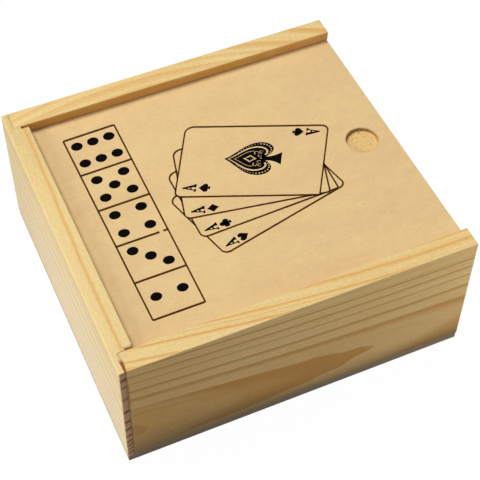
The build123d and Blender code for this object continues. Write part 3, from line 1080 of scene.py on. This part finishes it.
# Curls on the spade's right: middle, radius, start and end in turns, and the width at both.
CURLS = [
    ((3.8, -1.4), 1.0, -0.35, 0.42, (0.12, 0.34)),
    ((4.3, -3.7), 0.85, -0.15, 0.6, (0.12, 0.32)),
    ((2.0, -3.2), 0.75, 0.1, 0.8, (0.3, 0.12)),
]


def big_spade_print(looks):
    """Ornamented spade in the middle of the top card: a dark spade on a plain stem, and the bare
    wood that shows in it as a beaded border, a line, a vee, a lozenge and curls.

    Returns the inked parts and the bare parts.
    """
    middle = np.array(looks.card_size) / 2 + (0, SPADE_LIFT)

    def laid(points):
        return portrait(points, middle, PRINTED_CARDS[0], looks)

    body = -heart(*SPADE_BODY)
    body = body - (0, body[:, 1].max() - SPADE_TIP)

    def shrunk(across, along, height):
        return (body - (0, height)) * (across, along) + (0, height)

    shapes = [body, stem(*SPADE_STEM), diamond(*SPADE_WAIST) + WAIST_PLACE]
    inked = [ink_blot(laid(shape), looks) for shape in shapes]

    border = shrunk(*BEAD_LINE)
    closed = np.vstack((border, border[:1]))
    marks = marks_along(closed)
    beads = points_along(closed, marks, np.linspace(0, marks[-1], BEADS + 1)[:-1] + FIRST_BEAD)
    beads = beads[(beads[:, 1] < BEADS_BELOW) & (np.hypot(*(beads - STEM_TOP).T) > CLEAR_OF_STEM)]
    bare = [
        ink_blot(laid(circle(BIG_BEAD if bead[1] < BEAD_CHANGE else SMALL_BEAD, 10) + bead), looks)
        for bead in beads
    ]
    line = shrunk(*INNER_LINE)[LINE_LEFT_OUT:-LINE_LEFT_OUT]
    bare.append(ink_stroke(laid(line), np.interp(line[:, 1], *LINE_WIDTHS), looks))
    vee = shrunk(*INNER_VEE)
    bare.append(ink_stroke(laid(vee[vee[:, 1] > VEE_FROM]), VEE_WIDTH, looks))
    outer, inner = (laid(diamond(*LOZENGE) * share + LOZENGE_PLACE) for share in (1, LOZENGE_HOLE))
    bare.append(band(outer, inner, looks, True))
    for side in (-1, 1):
        for *curl, widths in CURLS:
            path = arc(*curl)
            bare.append(ink_stroke(laid(path * (side, 1)), np.linspace(*widths, len(path)), looks))
    return inked, [(points + (0, 0, BARE_LIFT * MM), faces) for points, faces in bare]


# ---- Stage ----------------------------------------------------------------------------------
LAMPS = {  # place and width of each square lamp, in metres, and its level
    "top_lamp": ((-0.45, 0.62, 1.60), 0.80, "top_level"),
    "side_lamp": ((-1.05, -0.05, 0.44), 0.80, "side_level"),
    "front_lamp": ((0.25, -0.19, 0.10), 0.15, "front_level"),
}
SENSOR = 36  # mm
NEAREST = 0.01  # nearest distance that the camera sees, in metres
FLOOR_REACH = 3.0  # how far the floor reaches from the box's middle, in metres
ROOM_GLOW, FLOOR_GLOW = 1.01, 1.035  # how bright the camera sees the surroundings and the floor
WHITE = (1, 1, 1, 1)


class BuildStage(Operator):
    """Camera, lamps, white surroundings and floor"""

    bl_idname = "games_box.stage"
    bl_label = "Stage"

    def execute(self, context):
        looks = context.scene.games_box_stage
        camera = new_object("camera", bpy.data.cameras.new("camera"))
        camera.location, camera.rotation_euler = looks.camera_place, looks.camera_turn
        camera.data.lens, camera.data.sensor_width = looks.camera_lens, SENSOR
        camera.data.shift_x = looks.camera_shift
        camera.data.clip_start = NEAREST
        context.scene.camera = camera
        context.scene.view_settings.view_transform = "Standard"
        for name, (place, size, level) in LAMPS.items():
            self.lamp(name, place, size, getattr(looks, level))
        self.surroundings(context, looks)
        self.floor(looks)
        return {"FINISHED"}

    def lamp(self, name, place, size, level):
        """A square lamp that lights a surface facing it at the origin to the level given."""
        light = bpy.data.lights.new(name, "AREA")
        light.size = size
        distance = np.linalg.norm(place)
        light.energy = level * np.pi ** 2 * distance ** 2
        back = np.array(place) / distance
        right = np.cross((0, 0, 1), back)
        right /= np.linalg.norm(right)
        turn = np.eye(4)
        turn[:3, :4] = np.stack((right, np.cross(back, right), back, place), -1)
        lamp = new_object(name, light)
        lamp.matrix_world = turn.T.tolist()
        lamp.visible_camera = False

    def seen(self, w):
        """1 for rays from the camera, and for those that gloss and glass send on."""
        rays = w.signals(w.node("LightPath").outputs)
        return w.most(*(rays[f"Is {kind} Ray"] for kind in ("Camera", "Glossy", "Transmission")))

    def surroundings(self, context, looks):
        world = bpy.data.worlds.new("white_room")
        world.use_nodes = True
        context.scene.world = world
        w = Wiring(world.node_tree)
        strength = w.out("MapRange", self.seen(w), 0.0, 1.0, looks.sky_level, ROOM_GLOW)
        w.fill(world.node_tree.nodes["Background"].inputs, Color=WHITE, Strength=strength)

    def floor(self, looks):
        mesh = bpy.data.meshes.new("floor")
        mesh.from_pydata(heights(-FLOOR_REACH * CORNERS, (0,))[0], [], [(0, 1, 2, 3)])
        material = bpy.data.materials.new("white_floor")
        material.use_nodes = True
        nodes = material.node_tree.nodes
        nodes.remove(nodes["Principled BSDF"])
        w = Wiring(material.node_tree)
        plain = w.out("BsdfDiffuse", (*looks.floor_tone, 1))
        glow = w.out("Emission", WHITE, FLOOR_GLOW)
        both = w.out("MixShader", self.seen(w) * looks.floor_glow, plain, glow)
        w.feed(nodes["Material Output"].inputs["Surface"], both)
        mesh.materials.append(material)
        floor = new_object("floor", mesh)


# ---- Wood, brads and print ------------------------------------------------------------------
THIN_INK = 0.003  # how much light shows through the thinnest ink


class DressBoards(Operator):
    """Pine on the four boards"""

    bl_idname = "games_box.boards"
    bl_label = "Pine boards"

    def execute(self, context):
        for node, board in BOARDS.items():
            dress(node, pine_material(node, board, context.scene.games_box_pine))
        return {"FINISHED"}


class DressPlywood(Operator):
    """Plywood on the lid, the base and the dividers"""

    bl_idname = "games_box.plywood"
    bl_label = "Plywood"

    def execute(self, context):
        for node, panel in PANELS.items():
            dress(node, plywood_material(node, context.scene.games_box_plywood, *panel))
        return {"FINISHED"}


class DressBrads(Operator):
    """Bright steel on the brads under the base"""

    bl_idname = "games_box.brads"
    bl_label = "Brads"

    def execute(self, context):
        steel = context.scene.games_box_games.steel
        material, w, shader = new_material("bright_steel", Metallic=1.0)
        drawn = w.noise(w.place(), (6, 6, 0.4), 3, 0.6)
        shade = w.mix(w.step(drawn, 0.3, 0.75), steel, darker(steel, 0.7))
        w.fill(shader, Base_Color=shade, Roughness=w.step(drawn, 0.3, 0.75, 0.25, 0.42))
        dress("base_brads", material)
        return {"FINISHED"}


class PrintLid(Operator):
    """Black print on the lid: strip of die faces, fanned cards and big spade"""

    bl_idname = "games_box.lid_print"
    bl_label = "Lid print"

    def execute(self, context):
        looks = context.scene.games_box_print
        ink, thin_ink = self.printed("printing_ink", looks.ink), self.printed("thin_ink", looks.thin_ink)
        strip_lines, pips = strip_print(looks)
        outlines, indices = cards_print(looks)
        inked, bare = big_spade_print(looks)
        pieces = {
            "dice_strip_lines": (strip_lines, thin_ink),
            "dice_strip_pips": (pips, ink),
            "card_outlines": (outlines, thin_ink),
            "card_indices": (indices, ink),
            "big_spade_print": (inked, ink),
        }
        for name, (parts, material) in pieces.items():
            new_piece(name, parts, material, "lid")
        lid_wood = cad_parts["sliding_lid"].material_slots[0].material
        ornament = new_piece("big_spade_bare_wood", bare, lid_wood, "lid")
        return {"FINISHED"}

    def printed(self, name, shade):
        """Flat ink, a little thinner in patches."""
        material, w, shader = new_material(name, IOR=1.45, Specular_IOR_Level=0.02)
        patchy = w.noise(w.place(), 1.4, 3, 0.6)
        thinner = tuple(value + THIN_INK for value in shade)
        shade = w.mix(w.step(patchy, 0.45, 0.8), tuple(shade), thinner)
        w.fill(shader, Base_Color=shade, Roughness=w.step(patchy, 0.3, 0.7, 0.6, 0.75))
        return material


# ---- Games in the box -----------------------------------------------------------------------
DECKS = {  # CAD node, turn in degrees and colour of each deck
    "playing_cards_lower": ("card_deck_lower", 0.0, "lower_back"),
    "playing_cards_upper": ("card_deck_upper", 0.7, "upper_back"),
}
CARD_WIDTH, CARD_LENGTH, CARD_CORNER = 63.5, 88.9, 3.2
CARD_BEVEL = 0.06  # mm taken off a card's edges, above and below
SLIP, MOST_SLIP = 0.12, 0.3  # mm that cards lie off the middle of their deck: spread and most
TWIST = 0.0012  # spread of the cards' turns, in radians
BACK_BORDER, BACK_PITCH = 4.2, 4.4  # white border and width of the lozenges on a card's back, in mm
SEED = 54
DICE_TURNS = {"die_1": 11, "die_2": -7, "die_3": 9, "die_4": -10, "die_5": 6}  # degrees
DIE_HALF = (8, 8, 8)  # mm
DIE_EDGE, DOMINO_EDGE = 1.6, 0.85  # mm along the edges that stay free of paint
FULL_SET = 28  # dominoes up to the double six


class StackCards(Operator):
    """Two decks of cards in their bay"""

    bl_idname = "games_box.cards"
    bl_label = "Playing cards"

    def execute(self, context):
        looks = context.scene.games_box_games
        draw = np.random.default_rng(SEED)
        for name, (node, degrees, back) in DECKS.items():
            low, high = low_and_high(node)
            middle, turn = (low + high) / 2, np.radians(degrees)
            thick = (high[2] - low[2]) / looks.cards
            parts = []
            for number in range(looks.cards):
                slip, twist = draw.normal(0, SLIP, 2), draw.normal(0, TWIST)
                if number == looks.cards - 1:
                    slip, twist = np.zeros(2), 0.0
                place = middle[:2] + np.clip(slip, -MOST_SLIP, MOST_SLIP)
                parts.append(self.card(place, turn + twist, low[2] + number * thick, thick))
            stock = self.stock("stock_" + name, looks, (*middle[:2], high[2]), turn, getattr(looks, back))
            piece = new_piece(name, parts, stock, "case")
            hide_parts(node)
        return {"FINISHED"}

    def card(self, place, turn, base, thick):
        """One card: its outline at four heights, drawn in a little at the lowest and the highest."""
        levels = base + np.array((0, CARD_BEVEL, thick - CARD_BEVEL, thick))
        rings = []
        for level, inset in zip(levels, (2 * CARD_BEVEL, 0, 0, 2 * CARD_BEVEL)):
            flat = rounded_rectangle(CARD_WIDTH - inset, CARD_LENGTH - inset, CARD_CORNER - inset / 2)
            rings.append(heights(turned(flat, turn, place), (level,)))
        ends = [(*(place * MM), level * MM) for level in (levels[0], levels[-1])]
        return lidded(np.concatenate(rings) * MM, *ends)

    def stock(self, name, looks, top, turn, back):
        """Card stock: white paper with a lattice of lozenges inside a border on the top card's back."""
        material, w, shader = new_material(name, IOR=1.5, Specular_IOR_Level=0.25)
        place = w.place("xyz", top)
        x, y, z = w.split(w.turned_back(place, turn))
        inside = w.least(CARD_WIDTH / 2 - BACK_BORDER - abs(x), CARD_LENGTH / 2 - BACK_BORDER - abs(y))
        halves = [abs(w.math("FRACT", slanted / BACK_PITCH) - 0.5) for slanted in (x + y, x - y)]
        lines = w.step(w.most(*halves), 0.45, 0.47)
        dots = w.step(halves[0] + halves[1], 0.10, 0.14, 1.0, 0.0)
        frame_band = w.step(inside, 1.0, 1.1) * w.step(inside, 1.5, 1.6, 1.0, 0.0)
        white = w.most(w.most(lines, dots) * 0.18, frame_band)
        solid = w.step(inside, 0.0, 0.08) * (1.0 - white) * w.step(w.facing("z"), 0.85, 0.95)
        grain = w.noise(place, 2.0, 3, 0.6)
        paper = w.mix(w.step(grain, 0.3, 0.7, 0.0, 0.5), looks.paper, darker(looks.paper, 0.9))
        shade = w.mix(solid * w.step(z, -0.2, -0.1), paper, back)
        w.fill(shader, Base_Color=shade, Roughness=w.step(grain, 0.3, 0.7, 0.34, 0.44))
        return material


class DressDice(Operator):
    """Ivory resin and black pips on the five dice"""

    bl_idname = "games_box.dice"
    bl_label = "Dice"

    def execute(self, context):
        looks = context.scene.games_box_games
        for node, turn in DICE_TURNS.items():
            material, w, shader = new_material("resin_" + node, IOR=1.5, Specular_IOR_Level=0.5)
            place = w.turned_back(w.place("xyz", middle_and_half(node)[0]), float(np.radians(turn)))
            paint = sunk_paint(w, Place=place, Half=DIE_HALF, Edge=DIE_EDGE)["Paint"]
            cloud = w.step(w.noise(w.place(), 0.25, 3, 0.55), 0.3, 0.7)
            resin = w.mix(cloud, looks.ivory, darker(looks.ivory, 0.93))
            w.fill(shader, Base_Color=w.mix(paint, resin, looks.paint), Roughness=0.22 + paint * 0.25)
            dress(node, material)
        return {"FINISHED"}


class DressDominoes(Operator):
    """Hardwood with black pips on the dominoes"""

    bl_idname = "games_box.dominoes"
    bl_label = "Dominoes"

    def execute(self, context):
        looks = context.scene.games_box_games
        tiles = [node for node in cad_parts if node.startswith("domino_")]
        if len(tiles) != FULL_SET:
            raise RuntimeError(f"a double-six set has {FULL_SET} dominoes, not {len(tiles)}")
        dark = darker(looks.tile, 0.62)
        for node in tiles:
            material, w, shader = new_material("hardwood_" + node, IOR=1.45, Specular_IOR_Level=0.35)
            middle, half = middle_and_half(node)
            paint = sunk_paint(w, Place=w.place("xyz", middle), Half=half, Edge=DOMINO_EDGE)["Paint"]
            fibre = wood_fibre(w, Place=w.place("yxz"), Along=0.08, Across=2.2)
            shade = w.mix(w.step(fibre["Streak"], 0.35, 0.75, 0.0, 0.4), looks.tile, dark)
            shade = w.mix(paint, w.mix(fibre["Fleck"] * 0.35, shade, dark), looks.paint)
            finish_wood(w, shader, shade, 0.42 + paint * 0.1, fibre["Height"], 0.02)
            dress(node, material)
        return {"FINISHED"}


class GamesBoxPanel(Panel):
    """Lists the steps that make the box's looks"""

    bl_idname = "VIEW3D_PT_games_box"
    bl_label = "Games compendium box"
    bl_space_type = "VIEW_3D"
    bl_region_type = "UI"
    bl_category = "Games Box"

    def draw(self, context):
        for step in STEPS:
            self.layout.operator(step.bl_idname)
        for name, looks in LOOKS.items():
            box = self.layout.box()
            for field in looks.__annotations__:
                box.prop(getattr(context.scene, name), field)


STEPS = (BuildStage, DressBoards, DressPlywood, DressBrads, PrintLid, StackCards, DressDice, DressDominoes)
CLASSES = (*LOOKS.values(), *STEPS, GamesBoxPanel)


def register():
    for kind in CLASSES:
        bpy.utils.register_class(kind)
    for name, looks in LOOKS.items():
        setattr(bpy.types.Scene, name, PointerProperty(type=looks))


def unregister():
    for name in LOOKS:
        delattr(bpy.types.Scene, name)
    for kind in reversed(CLASSES):
        bpy.utils.unregister_class(kind)


def main():
    register()
    bpy.ops.games_box.stage()
    bpy.ops.games_box.boards()
    bpy.ops.games_box.plywood()
    bpy.ops.games_box.brads()
    bpy.ops.games_box.lid_print()
    bpy.ops.games_box.cards()
    bpy.ops.games_box.dice()
    bpy.ops.games_box.dominoes()


if __name__ == "__main__":
    main()
